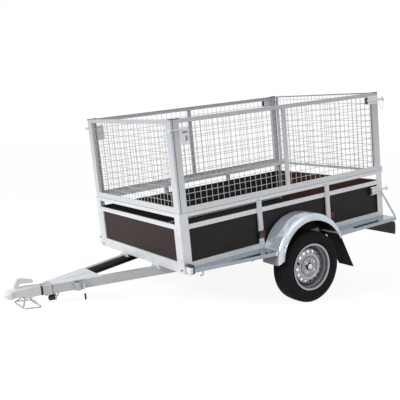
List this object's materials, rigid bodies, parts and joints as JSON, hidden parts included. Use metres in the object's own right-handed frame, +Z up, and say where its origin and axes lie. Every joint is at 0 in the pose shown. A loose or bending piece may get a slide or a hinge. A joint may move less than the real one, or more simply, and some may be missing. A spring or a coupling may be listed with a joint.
{
  "type": "utility trailer",
  "caption": "Single-axle utility trailer with ply sides, welded mesh cage, mudguards and ball coupling, parked nose-down on a bent-rod foot.",
  "frame": {"origin": "on the floor, under the middle of the trailer's overall box", "axes": "+X to the coupling at the front, +Y to the trailer's left, +Z up from the floor"},
  "size_m": [3.1198, 1.756, 1.6704],
  "materials": {
    "galvanised": "satin",
    "mesh_wire": "satin",
    "ply": "satin",
    "tyre_rubber": "matte",
    "rim_silver": "satin",
    "black_plastic": "matte",
    "amber_lens": "gloss",
    "red_lens": "gloss",
    "clear_lens": "gloss",
    "coupling_grey": "satin",
    "flap_rubber": "matte",
    "lead_rubber": "matte"
  },
  "bodies": {
    "chassis": {"drawbar_beams": "galvanised", "drawbar_tongue": "galvanised", "drawbar_gusset": "galvanised", "drawbar_brackets": "galvanised", "coupling_head": "coupling_grey", "coupling_handle": "coupling_grey", "parking_foot": "mesh_wire", "stand_clamp": "galvanised", "clamp_screw": "galvanised", "plug_holder": "galvanised", "plug": "black_plastic", "plug_lead": "lead_rubber", "axle_beam": "galvanised", "swing_arms": "galvanised", "front_rail": "galvanised", "rear_rail": "galvanised", "side_rails": "galvanised", "cross_members": "galvanised", "floor": "ply", "front_panel": "ply", "side_panels": "ply", "panel_rails": "galvanised", "lash_rails": "galvanised", "front_stiles": "galvanised", "front_posts": "galvanised", "rear_posts": "galvanised", "stakes": "galvanised", "ledges": "galvanised", "mudguard_left": "galvanised", "mudguard_right": "galvanised", "mudguard_stays": "galvanised", "mud_flaps": "flap_rubber", "lamp_board": "black_plastic", "tail_lamps": "red_lens", "front_lamp_bodies": "black_plastic", "front_lamp_lenses": "clear_lens", "reflectors": "amber_lens", "ledge_struts": "galvanised", "cage_left": "galvanised", "cage_right": "galvanised", "cage_front": "galvanised", "mesh_left": "mesh_wire", "mesh_right": "mesh_wire", "mesh_front": "mesh_wire", "latches": "galvanised", "tailgate_hinges": "galvanised", "gate_brackets": "galvanised"},
    "tailgate": {"tailgate_panel": "ply", "tailgate_frame": "galvanised", "tailgate_straps": "galvanised"},
    "rear_gate": {"rear_gate_frame": "galvanised", "rear_gate_mesh": "mesh_wire", "rear_gate_lugs": "galvanised"},
    "wheel_left": {"hub_left": "coupling_grey", "rim_left": "rim_silver", "tyre_left": "tyre_rubber"},
    "wheel_right": {"hub_right": "coupling_grey", "rim_right": "rim_silver", "tyre_right": "tyre_rubber"}
  },
  "joints": [
    {"name": "wheel_left_spin", "type": "hinge", "parent": "chassis", "child": "wheel_left", "pos_m": [-0.55943, 0.783, 0.28], "axis": [0, 1, 0], "continuous": true},
    {"name": "wheel_right_spin", "type": "hinge", "parent": "chassis", "child": "wheel_right", "pos_m": [-0.55943, -0.783, 0.28], "axis": [0, 1, 0], "continuous": true},
    {"name": "tailgate_drop", "type": "hinge", "parent": "chassis", "child": "tailgate", "pos_m": [-1.53686, 0, 0.64385], "axis": [0, -1, 0], "range_deg": [0, 180]},
    {"name": "rear_gate_drop", "type": "hinge", "parent": "chassis", "child": "rear_gate", "pos_m": [-1.49266, 0, 1.04181], "axis": [0, -1, 0], "range_deg": [0, 180]}
  ]
}
